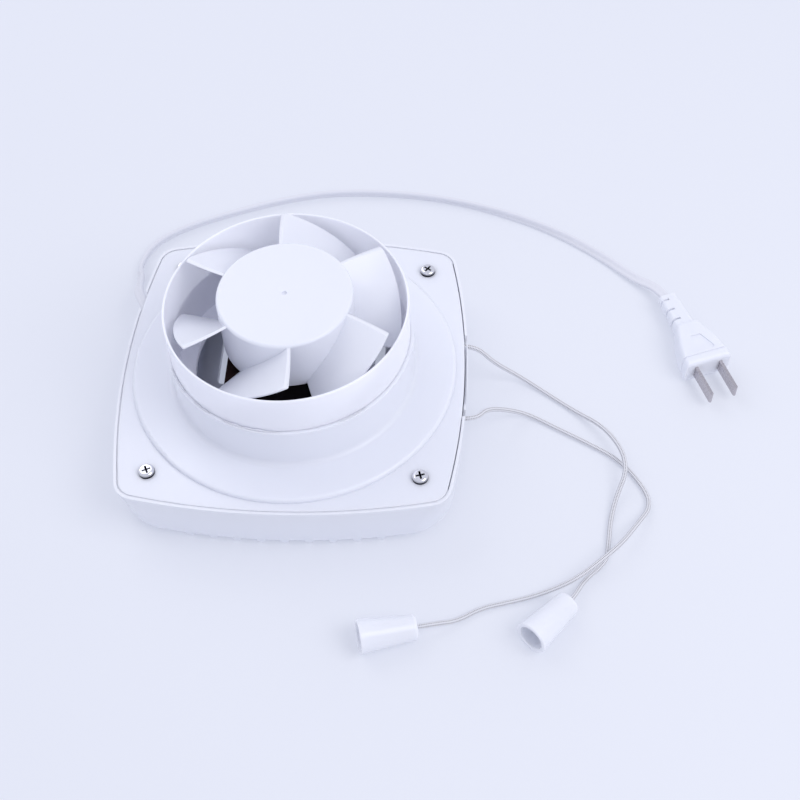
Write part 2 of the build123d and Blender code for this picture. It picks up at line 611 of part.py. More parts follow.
# ---------------------------------------------------------------- shutter plate
SHUTTER_HALF_X = 48.5
SHUTTER_HALF_Y = 64.2
TONGUE_Y = PIVOT[1] + SHUTTER_ARM
with BuildPart() as shutter_plate:
    with BuildSketch(Plane.XY.offset(SHUTTER_BOTTOM)):
        RectangleRounded(2 * SHUTTER_HALF_X, 2 * SHUTTER_HALF_Y, 4.0)
        with Locations((0.5 * (SHUTTER_HALF_X + 69.5), TONGUE_Y)):
            Rectangle(69.5 - SHUTTER_HALF_X + 2.0, 10.0)
        with Locations(*SLOT_COLUMNS):
            SlotOverall(SLOT_LENGTH, SLOT_WIDTH, rotation=90, mode=Mode.SUBTRACT)
        with Locations((PIVOT[0], TONGUE_Y - 0.3)):
            Rectangle(3.4, 6.0, mode=Mode.SUBTRACT)
    extrude(amount=SHUTTER_THICKNESS)
write(shutter_plate.part, "shutter_plate")

# ---------------------------------------------------------------- rocker on its pin
with BuildPart() as rocker_lever:
    with BuildSketch(Plane.XY.offset(ROCKER_BOTTOM)):
        with Locations(PIVOT):
            Circle(5.5)
        with Locations((PIVOT[0], PIVOT[1] + 0.5 * (SHUTTER_ARM - PULL_ARM))):
            SlotOverall(SHUTTER_ARM + PULL_ARM + 8.0, 6.4, rotation=90)
    extrude(amount=ROCKER_TOP - ROCKER_BOTTOM)
    with BuildSketch(Plane.XY.offset(ROCKER_BOTTOM)):
        with Locations((PIVOT[0], TONGUE_Y)):
            Circle(1.6)
    extrude(amount=SHUTTER_BOTTOM + 0.2 - ROCKER_BOTTOM)
    with BuildSketch(Plane.XY.offset(ROCKER_BOTTOM)):
        with Locations(PIVOT):
            Circle(SHAFT_R + RUNNING_GAP)
    extrude(amount=ROCKER_TOP - ROCKER_BOTTOM, mode=Mode.SUBTRACT)
    with BuildSketch(Plane.YZ.offset(PIVOT[0] - 5.0)):
        with Locations((PIVOT[1] + PULL_ARM, PULL_Z), (PIVOT[1] - PULL_ARM, PULL_Z)):
            SlotOverall(5.0, 3.4)
    extrude(amount=10.0, mode=Mode.SUBTRACT)
write(rocker_lever.part, "rocker_lever")

with BuildPart() as rocker_pin:
    with BuildSketch(Plane.XY.offset(ROCKER_BOTTOM - 12.0)):
        with Locations(PIVOT):
            Circle(SHAFT_R)
    extrude(amount=RECESS_TOP + 1.0 - (ROCKER_BOTTOM - 12.0))
write(rocker_pin.part, "rocker_pin")

# ---------------------------------------------------------------- switch and terminal block
SWITCH_Y = PIVOT[1] - 11.75
SWITCH_FRONT = 58.0
SWITCH_BOTTOM = 12.0
SWITCH_SIZE = (14.0, 11.0, 13.0)
PLUNGER_Z = 22.9
with BuildPart() as switch_body:
    with Locations((SWITCH_FRONT, SWITCH_Y, SWITCH_BOTTOM)):
        Box(*SWITCH_SIZE, align=(Align.MAX, Align.CENTER, Align.MIN))
    fillet(switch_body.edges().filter_by(Axis.Z), 1.0)
    # Foot that stands on the face of the cover, beyond the reach of the shutter plate
    with Locations((SWITCH_FRONT, SWITCH_Y, FACE_TOP)):
        Box(3.0, 9.0, SWITCH_BOTTOM - FACE_TOP, align=(Align.MAX, Align.CENTER, Align.MIN))
    with BuildSketch(Plane.YZ.offset(SWITCH_FRONT)):
        with Locations((SWITCH_Y, PLUNGER_Z)):
            Rectangle(4.2, 3.2)
    extrude(amount=-8.0, mode=Mode.SUBTRACT)
write(switch_body.part, "switch_body")

PLUNGER_TIP = PIVOT[0] - 3.2 - 0.3
with BuildPart() as switch_plunger:
    with Locations((PLUNGER_TIP, SWITCH_Y, PLUNGER_Z)):
        Box(9.6, 3.9, 2.9, align=(Align.MAX, Align.CENTER, Align.CENTER))
    fillet(switch_plunger.faces().sort_by(Axis.X)[-1].edges(), 1.0)
write(switch_plunger.part, "switch_plunger")

with BuildPart() as terminal_block:
    with Locations((-62.5, -6.0, FACE_TOP)):
        Box(20.0, 18.0, 13.0, align=(Align.CENTER, Align.CENTER, Align.MIN))
    fillet(terminal_block.edges().filter_by(Axis.Z), 1.2)
    with BuildSketch(Plane.XZ.offset(20.0)):
        with Locations((-58.0, 13.0), (-67.0, 13.0)):
            Circle(1.6)
    extrude(amount=-40.0, mode=Mode.SUBTRACT)
    with BuildSketch(Plane.XY.offset(FACE_TOP + 13.0)):
        with Locations((-58.0, -1.5), (-67.0, -1.5), (-58.0, -10.5), (-67.0, -10.5)):
            Circle(1.9)
    extrude(amount=-5.6, mode=Mode.SUBTRACT)
write(terminal_block.part, "terminal_block")

terminal_screw = pan_head_screw(1.85, 1.2, 1.2, 2.6)
with BuildPart() as terminal_screws:
    with Locations(*[(x, y, FACE_TOP + 11.2) for x in (-58.0, -67.0) for y in (-1.5, -10.5)]):
        add(terminal_screw)
write(terminal_screws.part, "terminal_screws")

corner_screw = pan_head_screw(3.7, 2.3, CORNER_SCREW_R, 14.0)
with BuildPart() as corner_screws:
    for number, corner in enumerate(CORNERS):
        with Locations(Location((corner.position.X, corner.position.Y, PLATE_TOP), 25.0 + 40.0 * number)):
            add(corner_screw)
write(corner_screws.part, "corner_screws")

# ---------------------------------------------------------------- mains cord with its plug
power_cord = cord_tube("power_cord", POWER_ROUTE, POWER_CORD_WIDTH, POWER_CORD_THICKNESS, POWER_CORD_ROLL)
write(power_cord, "power_cord")

TIE_POINT = Vector(-67.2, 19.0, 22.3)
TIE_HEADING = Vector(-7.5, 14.0, 3.0)
with BuildPart() as cable_tie:
    with BuildSketch(Plane(origin=TIE_POINT, x_dir=Vector(0, 0, 1).cross(TIE_HEADING), z_dir=TIE_HEADING)):
        RectangleRounded(POWER_CORD_WIDTH + 3.0, POWER_CORD_THICKNESS + 3.0, 1.6, rotation=POWER_CORD_ROLL)
        RectangleRounded(
            POWER_CORD_WIDTH + 0.6, POWER_CORD_THICKNESS + 0.6, 1.2, rotation=POWER_CORD_ROLL, mode=Mode.SUBTRACT
        )
    extrude(amount=1.4, both=True)
write(cable_tie.part, "cable_tie")

# The plug is drawn along its own axis: x towards the pins, y across them
plug_plane = Plane(origin=PLUG_FACE, x_dir=Vector(1, 0, 0).rotate(Axis.Z, PLUG_HEADING))
PLUG_BOTTOM = -PLUG_THICKNESS / 2
with BuildPart() as plug_body:
    with BuildSketch(plug_plane.offset(PLUG_BOTTOM)) as plug_outline:
        with BuildLine():
            Polyline(
                (0, 11.5), (-FLANGE_DEPTH, 11.5), (-14, 9.6), (-26, 5.6),
                (-26, -5.6), (-14, -9.6), (-FLANGE_DEPTH, -11.5), (0, -11.5), close=True,
            )
        make_face()
        fillet(plug_outline.vertices().sort_by(Axis.X)[2:4], 12.0)
        fillet(plug_outline.vertices().sort_by(Axis.X)[:2], 2.6)
    extrude(amount=PLUG_THICKNESS)
    fillet(plug_body.faces().filter_by(Plane.XY).edges(), 2.2)
    # Groove behind the flange that the pins stand on
    with BuildSketch(Plane(origin=PLUG_FACE, x_dir=plug_plane.y_dir, z_dir=plug_plane.x_dir).offset(-FLANGE_DEPTH)):
        Rectangle(30.0, 20.0)
        RectangleRounded(22.0, PLUG_THICKNESS - 0.9, 2.0, mode=Mode.SUBTRACT)
    extrude(amount=-0.7, mode=Mode.SUBTRACT)
    # Strain relief: a tapered sleeve round the cord with slots across it
    relief_plane = Plane(
        origin=plug_plane.from_local_coords((-25.0, 0, 0)), x_dir=(0, 0, 1), z_dir=-plug_plane.x_dir
    )
    with BuildSketch(relief_plane):
        RectangleRounded(8.8, 10.6, 2.8)
    with BuildSketch(relief_plane.offset(RELIEF_LENGTH)):
        RectangleRounded(6.0, 8.8, 2.0)
    loft()
    for distance in (5.0, 11.8, 18.6):
        with BuildSketch(relief_plane.offset(distance)):
            with Locations((4.2, -3.1)):
                Rectangle(4.0, 4.6)
            with Locations((0, -5.2), (0, 5.2)):
                Rectangle(5.6, 2.6)
        extrude(amount=1.2, mode=Mode.SUBTRACT)
    with BuildSketch(relief_plane.offset(RELIEF_LENGTH)):
        RectangleRounded(POWER_CORD_THICKNESS + 0.5, POWER_CORD_WIDTH + 0.5, 0.5 * POWER_CORD_THICKNESS)
    extrude(amount=-6.0, mode=Mode.SUBTRACT)
    # Plain sunk panel on the upper side
    with BuildSketch(plug_plane.offset(-PLUG_BOTTOM)) as panel:
        with BuildLine():
            Polyline((-6.6, -6.6), (-6.6, 6.6), (-16.5, 2.6), (-16.5, -2.6), close=True)
        make_face()
        fillet(panel.vertices(), 1.4)
    extrude(amount=-0.6, mode=Mode.SUBTRACT)
    # Sockets of the pins
    with BuildSketch(Plane(origin=PLUG_FACE, x_dir=plug_plane.y_dir, z_dir=-plug_plane.x_dir)):
        with Locations((PIN_SPACING / 2, 0), (-PIN_SPACING / 2, 0)):
            Rectangle(1.5, 6.3)
    extrude(amount=8.0, mode=Mode.SUBTRACT)
write(plug_body.part, "plug_body")

with BuildPart() as plug_pins:
    with BuildSketch(Plane(origin=PLUG_FACE, x_dir=plug_plane.y_dir, z_dir=plug_plane.x_dir).offset(-8.0)):
        with Locations((PIN_SPACING / 2, 0), (-PIN_SPACING / 2, 0)):
            Rectangle(1.5, 6.3)
    extrude(amount=8.0 + PIN_LENGTH)
    tip_edges = plug_pins.edges().filter_by(Axis.Z).sort_by(Axis(PLUG_FACE, plug_plane.x_dir))[-4:]
    chamfer(tip_edges, 0.5)
write(plug_pins.part, "plug_pins")


# ---------------------------------------------------------------- pull cords with their bells
def pull_bell(route):
    """Tapered bell on the end of a cord, which comes in through its small end."""
    inner_end = Vector(*route[-1])
    heading = (inner_end - Vector(*route[-2])).normalized()
    small_end = inner_end - heading * CORD_IN_BELL
    along = Plane(origin=small_end, x_dir=heading, z_dir=heading.cross(Vector(0, 0, 1)))
    with BuildPart() as bell:
        with BuildSketch(along) as profile:
            with BuildLine():
                Polyline(
                    (0, PULL_CORD_R + 0.3), (0, BELL_SMALL_R), (BELL_LENGTH, BELL_MOUTH_R),
                    (BELL_LENGTH, BELL_MOUTH_R - BELL_WALL), (2.4, BELL_SMALL_R - BELL_WALL),
                    (2.4, PULL_CORD_R + 0.3), close=True,
                )
            make_face()
            fillet(profile.vertices().sort_by_distance((0, BELL_SMALL_R))[0], 1.5)
            fillet(profile.vertices().sort_by(Axis.X)[-2:], 0.5)
        revolve(axis=Axis(small_end, heading))
    return bell.part


def cord_knot(end, neighbour):
    """Knot just beyond one end of a cord, with a flat that meets the end of the cord."""
    outwards = Vector(*end) - Vector(*neighbour)
    with BuildPart() as knot:
        with BuildSketch(Plane(origin=end, z_dir=outwards)):
            Circle(KNOT_R)
        extrude(amount=KNOT_LENGTH)
        fillet(knot.edges().filter_by(GeomType.CIRCLE), 1.2)
    return knot.part


for side, route in (("a", PULL_ROUTE_A), ("b", PULL_ROUTE_B)):
    write(cord_tube(f"pull_cord_{side}", route, 2 * PULL_CORD_R, 2 * PULL_CORD_R), f"pull_cord_{side}")
    write(cord_knot(route[0], route[1]), f"inner_knot_{side}")
    write(cord_knot(route[-1], route[-2]), f"end_knot_{side}")
    write(pull_bell(route), f"pull_bell_{side}")

# ---------------------------------------------------------------- wires inside the housing
for wire_name, route in WIRE_ROUTES.items():
    write(cord_tube(wire_name, route, 2 * WIRE_R, 2 * WIRE_R), wire_name)
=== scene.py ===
"""Looks of the bathroom extractor fan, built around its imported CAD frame.

Metres, in the frame of the CAD: the fan lies face down at the origin, +Z along its duct, with its pull
cords on the +X side.  MM turns the millimetres used for small detail into metres.
"""

import json
import math

import bpy
from mathutils import Matrix, Vector


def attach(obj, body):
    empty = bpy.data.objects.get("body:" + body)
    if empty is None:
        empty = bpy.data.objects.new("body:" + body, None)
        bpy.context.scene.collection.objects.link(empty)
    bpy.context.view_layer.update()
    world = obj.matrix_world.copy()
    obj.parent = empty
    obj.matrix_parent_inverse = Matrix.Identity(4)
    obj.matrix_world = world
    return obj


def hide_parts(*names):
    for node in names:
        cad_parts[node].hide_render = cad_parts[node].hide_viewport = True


MM = 0.001

# Places in the CAD that the looks depend on, in mm
PLATE_TOP = 29.0
COLLAR_TOP = 54.2
COLLAR_BORE_R = 55.05

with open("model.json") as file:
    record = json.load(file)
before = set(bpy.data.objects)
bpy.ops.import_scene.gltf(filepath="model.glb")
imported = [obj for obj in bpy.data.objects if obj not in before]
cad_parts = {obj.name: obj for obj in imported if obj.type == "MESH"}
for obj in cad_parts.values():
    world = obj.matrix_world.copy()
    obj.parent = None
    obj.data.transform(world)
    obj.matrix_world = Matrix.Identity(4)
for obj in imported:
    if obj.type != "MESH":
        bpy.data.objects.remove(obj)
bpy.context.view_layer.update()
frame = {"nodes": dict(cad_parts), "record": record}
nodes = frame["nodes"]

# ---------------------------------------------------------------- camera
CAMERA_PLACE = Vector((76.36, -372.88, 511.31)) * MM
CAMERA_FORWARD = Vector((-0.0434, 0.5915, -0.8051))
CAMERA_RIGHT = Vector((0.99890, 0.04020, -0.02430))
CAMERA_LENS = 58.38


def make_camera():
    """Camera at the photograph's viewing angle."""
    forward = CAMERA_FORWARD.normalized()
    right = (CAMERA_RIGHT - CAMERA_RIGHT.dot(forward) * forward).normalized()
    up = right.cross(forward)
    data = bpy.data.cameras.new("camera")
    data.lens = CAMERA_LENS
    data.sensor_width = 36.0
    data.clip_start = 0.01
    data.clip_end = 20.0
    camera = bpy.data.objects.new("camera", data)
    bpy.context.scene.collection.objects.link(camera)
    turn = Matrix((right, up, -forward)).transposed().to_4x4()
    camera.matrix_world = Matrix.Translation(CAMERA_PLACE) @ turn
    bpy.context.scene.camera = camera


# ---------------------------------------------------------------- floor and light
def area_light(name, place, target, size, power, colour):
    """Soft box that looks from its place at its target."""
    data = bpy.data.lights.new(name, "AREA")
    data.shape = "RECTANGLE"
    data.size, data.size_y = size
    data.energy = power
    data.color = colour
    light = bpy.data.objects.new(name, data)
    bpy.context.scene.collection.objects.link(light)
    light.location = place
    light.rotation_mode = "QUATERNION"
    light.rotation_quaternion = (Vector(target) - Vector(place)).to_track_quat("-Z", "Y")


def make_studio():
    """Pale floor with some light of its own, pale sky and two soft boxes."""
    scene = bpy.context.scene
    scene.view_settings.view_transform = "Standard"
    world = bpy.data.worlds.new("studio")
    scene.world = world
    world.use_nodes = True
    sky = world.node_tree.nodes["Background"]
    sky.inputs["Color"].default_value = (0.845, 0.87, 1.0, 1.0)
    sky.inputs["Strength"].default_value = 0.79
    area_light("key", (0.80, -0.35, 1.00), (0.0, 0.0, 0.03), (0.8, 0.8), 5.2, (1.0, 0.99, 1.0))
    area_light("fill", (-0.75, 0.85, 1.10), (0.0, 0.0, 0.03), (1.2, 1.2), 4.6, (0.97, 0.97, 1.0))
    reach = 3.0
    drop = 0.0003
    floor_mesh = bpy.data.meshes.new("floor")
    corners = [(-reach, -reach, 0), (reach, -reach, 0), (reach, reach, 0), (-reach, reach, 0)]
    floor_mesh.from_pydata(corners, [], [(0, 1, 2, 3)])
    floor = bpy.data.objects.new("floor", floor_mesh)
    scene.collection.objects.link(floor)
    floor.location.z = -drop
    material, shader = new_material("floor_paper", (0.50, 0.505, 0.52), 0.75)
    shader.inputs["Specular IOR Level"].default_value = 0.2
    shader.inputs["Emission Color"].default_value = (0.30, 0.316, 0.375, 1.0)
    shader.inputs["Emission Strength"].default_value = 1.0
    floor_mesh.materials.append(material)


# ---------------------------------------------------------------- materials
def new_material(name, colour, roughness, metallic=0.0):
    """Material with a principled shader; returns both."""
    material = bpy.data.materials.new(name)
    material.use_nodes = True
    shader = material.node_tree.nodes["Principled BSDF"]
    shader.inputs["Base Color"].default_value = (*colour, 1.0)
    shader.inputs["Roughness"].default_value = roughness
    shader.inputs["Metallic"].default_value = metallic
    return material, shader


def add_node(material, kind, **settings):
    """New node in a material, with its properties set by name."""
    node = material.node_tree.nodes.new(kind)
    for key, value in settings.items():
        setattr(node, key, value)
    return node


def noise(material, scale, detail=4.0, stretch=(1, 1, 1)):
    """Noise over the object's own coordinates, in cycles per metre."""
    links = material.node_tree.links
    place = add_node(material, "ShaderNodeTexCoord")
    mapping = add_node(material, "ShaderNodeMapping")
    mapping.inputs["Scale"].default_value = stretch
    texture = add_node(material, "ShaderNodeTexNoise")
    texture.inputs["Scale"].default_value = scale
    texture.inputs["Detail"].default_value = detail
    links.new(place.outputs["Object"], mapping.inputs["Vector"])
    links.new(mapping.outputs["Vector"], texture.inputs["Vector"])
    return texture


def ramp(material, source, stops):
    """Colour ramp over a value; stops are (position, colour)."""
    node = add_node(material, "ShaderNodeValToRGB")
    elements = node.color_ramp.elements
    while len(elements) < len(stops):
        elements.new(0.5)
    for element, (position, colour) in zip(elements, stops):
        element.position = position
        element.color = (*colour, 1.0)
    material.node_tree.links.new(source, node.inputs["Fac"])
    return node


def bump(material, shader, height, strength, distance):
    """Bump from a height, into the shader's normal."""
    node = add_node(material, "ShaderNodeBump")
    node.inputs["Strength"].default_value = strength
    node.inputs["Distance"].default_value = distance
    material.node_tree.links.new(height, node.inputs["Height"])
    material.node_tree.links.new(node.outputs["Normal"], shader.inputs["Normal"])


def moulded_plastic(name, colour, roughness, variation=0.005, depth=0.0, specular=0.5):
    """Moulded plastic with faint clouding; depth in metres is how far light goes into it."""
    material, shader = new_material(name, colour, roughness)
    links = material.node_tree.links
    clouds = noise(material, 14.0, 3.0)
    low = tuple(c * (1 - variation) for c in colour)
    high = tuple(min(1.0, c * (1 + variation)) for c in colour)
    tint = ramp(material, clouds.outputs["Fac"], [(0.3, low), (0.7, high)])
    links.new(tint.outputs["Color"], shader.inputs["Base Color"])
    peel = noise(material, 160.0, 1.0)
    duller, glossier = (roughness * 1.03,) * 3, (roughness * 0.97,) * 3
    gloss = ramp(material, peel.outputs["Fac"], [(0.3, glossier), (0.7, duller)])
    links.new(gloss.outputs["Color"], shader.inputs["Roughness"])
    bump(material, shader, peel.outputs["Fac"], 0.01, 0.0001)
    shader.inputs["Specular IOR Level"].default_value = specular
    if depth:
        shader.inputs["Subsurface Weight"].default_value = 0.6
        shader.inputs["Subsurface Radius"].default_value = (1.0, 1.0, 1.0)
        shader.inputs["Subsurface Scale"].default_value = depth
    return material


def plated_metal(name, colour, roughness, scratch=900.0):
    """Plated metal with fine brushed variation."""
    material, shader = new_material(name, colour, roughness, 1.0)
    links = material.node_tree.links
    grain = noise(material, scratch, 4.0, (1.0, 1.0, 0.25))
    duller, glossier = (roughness * 1.4,) * 3, (roughness * 0.7,) * 3
    gloss = ramp(material, grain.outputs["Fac"], [(0.3, glossier), (0.75, duller)])
    links.new(gloss.outputs["Color"], shader.inputs["Roughness"])
    bump(material, shader, grain.outputs["Fac"], 0.15, 0.0001)
    return material


ZINC = (0.85, 0.85, 0.88)
# Near-black painted shade for the recess round a screw head
PAINTED_RECESS_SHADE = (0.02, 0.02, 0.03)


def zinc_screw(name):
    """Bright zinc with painted shade down the head of a corner screw, in its recess and round its foot.

    The painted shade goes by height alone: the terminal screws, which are lower, are dark all over, and the
    motor screws, which are higher, are bright all over.
    """
    material = plated_metal(name, ZINC, 0.12)
    links = material.node_tree.links
    place = add_node(material, "ShaderNodeTexCoord")
    split = add_node(material, "ShaderNodeSeparateXYZ")
    links.new(place.outputs["Object"], split.inputs["Vector"])
    height = add_node(material, "ShaderNodeMapRange")
    height.inputs["From Min"].default_value = (PLATE_TOP + 1.0) * MM
    height.inputs["From Max"].default_value = (PLATE_TOP + 1.9) * MM
    links.new(split.outputs["Z"], height.inputs["Value"])
    # Painted shade: the head is near black low down and turns to bright zinc higher up
    tint = ramp(material, height.outputs["Result"], [(0.0, PAINTED_RECESS_SHADE), (1.0, ZINC)])
    links.new(tint.outputs["Color"], material.node_tree.nodes["Principled BSDF"].inputs["Base Color"])
    return material


BRAID_PITCH = 1.5 * MM
BRAID_STRANDS = 3


def braided_yarn(name, colour):
    """Braid: two sets of diagonal plaits over a cord's own coordinates, u round it and v along it, with
    painted shade in the low parts of the weave.
    """
    material, shader = new_material(name, colour, 0.75)
    links = material.node_tree.links
    place = add_node(material, "ShaderNodeUVMap")
    split = add_node(material, "ShaderNodeSeparateXYZ")
    links.new(place.outputs["UV"], split.inputs["Vector"])
    waves = []
    for direction in (1.0, -1.0):
        round_term = add_node(material, "ShaderNodeMath", operation="MULTIPLY")
        round_term.inputs[1].default_value = direction * BRAID_STRANDS * math.tau
        links.new(split.outputs["X"], round_term.inputs[0])
        along_term = add_node(material, "ShaderNodeMath", operation="MULTIPLY")
        along_term.inputs[1].default_value = math.tau / BRAID_PITCH
        links.new(split.outputs["Y"], along_term.inputs[0])
        total = add_node(material, "ShaderNodeMath", operation="ADD")
        links.new(round_term.outputs[0], total.inputs[0])
        links.new(along_term.outputs[0], total.inputs[1])
        wave = add_node(material, "ShaderNodeMath", operation="SINE")
        links.new(total.outputs[0], wave.inputs[0])
        waves.append(wave)
    weave = add_node(material, "ShaderNodeMath", operation="MULTIPLY")
    links.new(waves[0].outputs[0], weave.inputs[0])
    links.new(waves[1].outputs[0], weave.inputs[1])
    height = add_node(material, "ShaderNodeMapRange")
    height.inputs["From Min"].default_value = -1.0
    links.new(weave.outputs[0], height.inputs["Value"])
    # Painted shade: the low parts of the weave are darkened to 0.35 of the yarn's colour
    painted_gap_shade = tuple(0.35 * c for c in colour)
    tint = ramp(material, height.outputs["Result"], [(0.15, painted_gap_shade), (0.5, colour)])
    links.new(tint.outputs["Color"], shader.inputs["Base Color"])
    bump(material, shader, height.outputs["Result"], 0.9, 0.0003)
    return material


def sleeve_plastic():
    """Plastic of the sleeve, with a little light of its own for the daylight that comes through its wall."""
    material = moulded_plastic("abs_thin_sleeve", (0.88, 0.89, 0.93), 0.30, depth=5.0 * MM)
    shader = material.node_tree.nodes["Principled BSDF"]
    shader.inputs["Emission Color"].default_value = (0.07, 0.072, 0.10, 1.0)
    shader.inputs["Emission Strength"].default_value = 1.0
    return material


finishes = {
    "housing_white": moulded_plastic("abs_housing", (0.84, 0.855, 0.91), 0.30, depth=1.8 * MM),
    "impeller_white": moulded_plastic("abs_impeller", (0.85, 0.865, 0.925), 0.26, depth=1.5 * MM),
    "bell_white": moulded_plastic("gloss_bell", (0.85, 0.865, 0.92), 0.20, depth=3.0 * MM),
    "cord_white": moulded_plastic("pvc_cord", (0.78, 0.785, 0.83), 0.42),
    "plug_white": moulded_plastic("pvc_plug", (0.84, 0.855, 0.91), 0.40, depth=2.0 * MM),
    "braid_white": braided_yarn("braided_yarn", (0.86, 0.86, 0.89)),
    "zinc": zinc_screw("zinc_plate_painted_shade"),
    "pin_plate": plated_metal("pin_plate", (0.56, 0.53, 0.55), 0.28),
    "lamination_steel": plated_metal("lamination_steel", (0.035, 0.018, 0.016), 0.45, 2500.0),
    "steel": plated_metal("plain_steel", (0.30, 0.30, 0.31), 0.35),
    "bronze": plated_metal("sintered_bronze", (0.45, 0.30, 0.16), 0.5),
    "copper": plated_metal("copper", (0.70, 0.33, 0.20), 0.35),
    "nylon": moulded_plastic("nylon", (0.74, 0.74, 0.72), 0.5),
    "bobbin_brown": moulded_plastic("bobbin_brown", (0.02, 0.008, 0.007), 0.7, specular=0.1),
    "winding_tape": moulded_plastic("winding_tape", (0.003, 0.002, 0.003), 0.8, 0.3, specular=0.05),
    "switch_black": moulded_plastic("switch_black", (0.02, 0.02, 0.022), 0.45, 0.1),
    "wire_brown": moulded_plastic("wire_brown", (0.10, 0.035, 0.02), 0.4, 0.1),
    "wire_blue": moulded_plastic("wire_blue", (0.02, 0.05, 0.22), 0.4, 0.1),
}


def dress_nodes():
    """Gives every CAD node the finish of its material slot, and the sleeve its own."""
    for entry in frame["record"]["subparts"]:
        node = nodes[entry["node"]]
        node.data.materials.clear()
        node.data.materials.append(finishes[entry["material_slot"]])
    nodes["duct_sleeve"].data.materials[0] = sleeve_plastic()


# ---------------------------------------------------------------- cords
MAINS_WIDTH = 4.8 * MM
MAINS_THICKNESS = 2.4 * MM
PULL_RADIUS = 1.1 * MM
POWER_ROUTE = [
    (-64.0, 13.0, 21.0), (-71.5, 27.0, 24.0), (-79.2, 41.0, 25.2), (-85.2, 53.5, 20.5),
    (-88.0, 71.0, 9.0), (-92.8, 85.0, 2.4), (-87.8, 102.0, 2.4), (-72.3, 114.6, 2.4),
    (-48.0, 126.0, 2.4), (-19.0, 137.0, 2.4), (9.0, 143.0, 2.4), (44.3, 142.3, 2.4),
    (74.3, 137.4, 2.4), (104.5, 127.0, 2.4), (131.0, 113.5, 2.2), (153.0, 97.0, 1.9),
    (167.5, 82.0, 2.6), (180.4, 70.87, 6.75), (184.51, 59.6, 6.75),
]
PULL_ROUTE_A = [
    (61.5, 18.0, 23.8), (73.5, 18.0, 23.4), (85.5, 18.0, 23.8), (94.5, 16.2, 13.5),
    (107.3, 16.3, 3.0), (118.8, 8.7, 1.1), (134.2, -3.4, 1.1), (145.7, -14.3, 5.8),
    (154.0, -27.3, 6.3), (155.8, -40.0, 6.3), (150.8, -51.5, 2.5), (147.5, -63.0, 1.1),
    (146.0, -75.0, 1.1), (144.5, -85.7, 1.1), (134.0, -95.2, 1.4), (129.0, -105.7, 5.32),
    (124.7, -110.4, 5.84),
]
PULL_ROUTE_B = [
    (61.5, -24.5, 23.8), (73.5, -24.5, 23.4), (86.0, -24.5, 23.8), (90.5, -16.0, 19.8),
    (100.6, -8.2, 8.8), (111.2, -5.2, 1.1), (123.7, -12.7, 1.1), (138.2, -21.0, 1.1),
    (153.3, -30.5, 1.1), (164.1, -46.1, 1.1), (166.2, -56.5, 1.1), (158.5, -68.1, 4.5),
    (151.4, -78.4, 6.3), (141.0, -88.2, 6.3), (128.4, -97.9, 4.8), (113.0, -103.2, 1.1),
    (100.6, -106.8, 1.1), (88.5, -110.0, 1.1), (78.5, -116.5, 1.3), (68.9, -119.87, 5.04),
    (58.1, -122.64, 5.9),
]

# Twist of the flat mains cord: (share of its length, degrees from lying flat)
POWER_TWIST = [
    (0.0, 13.0), (0.10, 5.0), (0.15, 35.0), (0.21, 78.0), (0.35, 74.0), (0.66, 78.0),
    (0.76, 102.0), (0.85, 128.0), (0.92, 148.0), (0.97, 174.0), (1.0, 180.0),
]


def smooth_line(name, route):
    """Points along the NURBS spline whose control points are the route, in metres."""
    curve = bpy.data.curves.new(name, "CURVE")
    curve.dimensions = "3D"
    curve.resolution_u = 14
    spline = curve.splines.new("NURBS")
    spline.points.add(len(route) - 1)
    for point, place in zip(spline.points, route):
        point.co = (*(Vector(place) * MM), 1.0)
    spline.order_u = 3
    spline.use_endpoint_u = True
    carrier = bpy.data.objects.new(name, curve)
    bpy.context.scene.collection.objects.link(carrier)
    bpy.context.view_layer.update()
    mesh = bpy.data.meshes.new_from_object(carrier)
    line = [vertex.co.copy() for vertex in mesh.vertices]
    bpy.data.objects.remove(carrier)
    bpy.data.meshes.remove(mesh)
    return line


def line_length(line):
    """Length of a line of points."""
    return sum((b - a).length for a, b in zip(line, line[1:]))


def even_line(line, step):
    """The same line with its points a constant step apart."""
    total = line_length(line)
    count = max(2, round(total / step))
    points = [line[0].copy()]
    walked = 0.0
    index = 0
    for number in range(1, count):
        wanted = total * number / count
        while walked + (line[index + 1] - line[index]).length < wanted:
            walked += (line[index + 1] - line[index]).length
            index += 1
        leg = line[index + 1] - line[index]
        points.append(line[index] + leg * ((wanted - walked) / leg.length))
    points.append(line[-1].copy())
    return points


def twist_at(share, twist):
    """Angle in radians at a share of a cord's length, eased between the stations of its twist."""
    for (low, start), (high, end) in zip(twist, twist[1:]):
        if share <= high:
            step = (share - low) / (high - low)
            return math.radians(start + (end - start) * step * step * (3 - 2 * step))
    return math.radians(twist[-1][1])


